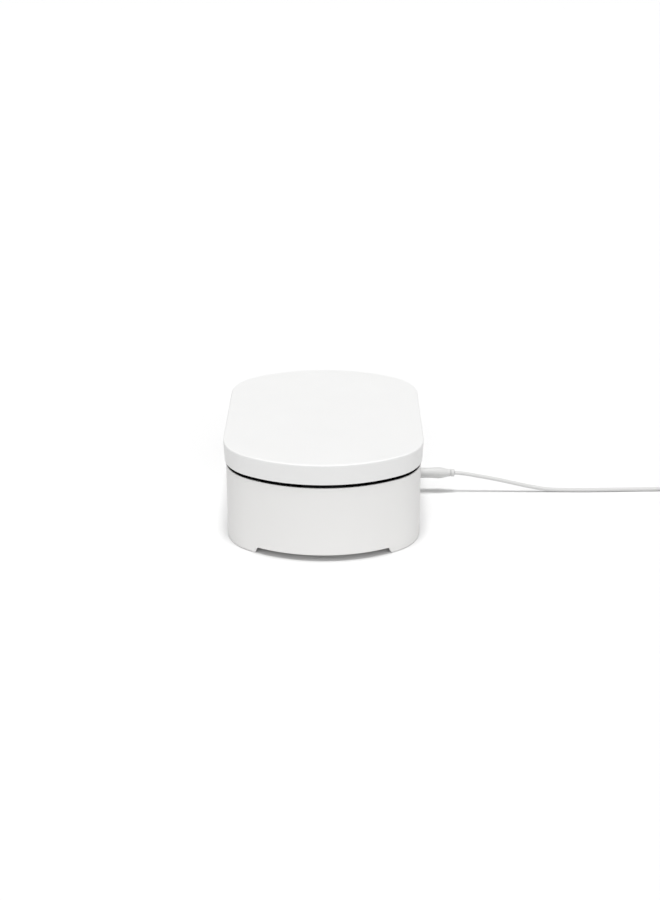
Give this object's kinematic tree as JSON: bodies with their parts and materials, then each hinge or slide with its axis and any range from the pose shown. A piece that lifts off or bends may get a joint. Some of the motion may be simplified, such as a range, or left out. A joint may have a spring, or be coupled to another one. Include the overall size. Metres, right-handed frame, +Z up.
{
  "type": "wireless router",
  "caption": "White wireless router with two flat sides, rounded front and back, a flared cover over a black vent gap, network sockets, and a plug-in power lead with wall adapter.",
  "frame": {"origin": "on the table, under the middle of the router's body (the power lead isn't counted)", "axes": "+Z up, -Y the front with the air inlet, +X the flat side with the sockets and the power lead"},
  "size_m": [0.453, 0.2208, 0.0852],
  "materials": {
    "housing_white": "fine moulded texture, matte",
    "cover_white": "fine moulded texture, matte",
    "base_white": "fine moulded texture, matte",
    "vent_black": "matte black",
    "frame_grey": "matte dark grey",
    "foot_rubber": "matte rubber",
    "circuit_board": "solder mask, satin",
    "chip_black": "moulded epoxy, matte",
    "thermal_pad": "soft silicone pad",
    "heat_sink": "anodised, satin",
    "tin_plate": "tin plated",
    "capacitor_can": "drawn can",
    "jack_black": "matte",
    "clear_plastic": "clear, polished",
    "coax_black": "smooth jacket",
    "screw_steel": "zinc plated",
    "cord_white": "smooth matte jacket",
    "plug_metal": "nickel plated brass",
    "tie_black": "woven hook and loop strap",
    "adapter_white": "fine moulded texture, matte"
  },
  "bodies": {
    "router": {"main_housing": "housing_white", "port_panel": "housing_white", "top_cover": "cover_white", "vent_ring": "vent_black", "inner_frame": "frame_grey", "base_plate": "base_white", "rubber_foot_front_left": "foot_rubber", "rubber_foot_front_right": "foot_rubber", "rubber_foot_rear_left": "foot_rubber", "rubber_foot_rear_right": "foot_rubber", "main_board": "circuit_board", "processor": "chip_black", "thermal_pad": "thermal_pad", "memory_chip": "chip_black", "heat_sink": "heat_sink", "rf_shield_front": "tin_plate", "rf_shield_rear": "tin_plate", "ethernet_transformer": "chip_black", "filter_capacitor": "capacitor_can", "wan_jack": "jack_black", "lan_jack_1": "jack_black", "lan_jack_2": "jack_black", "power_jack": "jack_black", "pair_switch": "chip_black", "reset_switch": "chip_black", "status_led": "clear_plastic", "status_light_pipe": "clear_plastic", "antenna_front": "circuit_board", "antenna_rear": "circuit_board", "antenna_left": "circuit_board", "antenna_right": "circuit_board", "coax_front": "coax_black", "coax_rear": "coax_black", "coax_left": "coax_black", "coax_right": "coax_black", "base_screw_front_left": "screw_steel", "base_screw_front_right": "screw_steel", "base_screw_rear_left": "screw_steel", "base_screw_rear_right": "screw_steel", "frame_screw_front_left": "screw_steel", "frame_screw_front_right": "screw_steel", "frame_screw_rear_left": "screw_steel", "frame_screw_rear_right": "screw_steel", "board_screw_front_left": "screw_steel", "board_screw_front_right": "screw_steel", "board_screw_rear_left": "screw_steel", "board_screw_rear_right": "screw_steel"},
    "pair_button": {"pair_button": "housing_white"},
    "reset_button": {"reset_button": "frame_grey"},
    "power_lead": {"plug_grip": "cord_white", "plug_barrel": "plug_metal", "cord_collar": "cord_white", "power_cord": "cord_white", "power_cord_coil": "cord_white", "power_cord_tail": "cord_white", "cord_tie": "tie_black", "adapter_case": "adapter_white", "adapter_strain_relief": "cord_white", "adapter_blade_left": "plug_metal", "adapter_blade_right": "plug_metal"}
  },
  "joints": [
    {"name": "pair_button_press", "type": "slide", "parent": "router", "child": "pair_button", "axis": [-1, 0, 0], "range_m": [0, 0.0008], "stiffness_N_per_m": 600, "springref_m": -0.001},
    {"name": "reset_button_press", "type": "slide", "parent": "router", "child": "reset_button", "axis": [-1, 0, 0], "range_m": [0, 0.0007], "stiffness_N_per_m": 600, "springref_m": -0.001},
    {"name": "plug_pull", "type": "slide", "parent": "router", "child": "power_lead", "axis": [1, 0, 0], "range_m": [0, 0.012]}
  ]
}
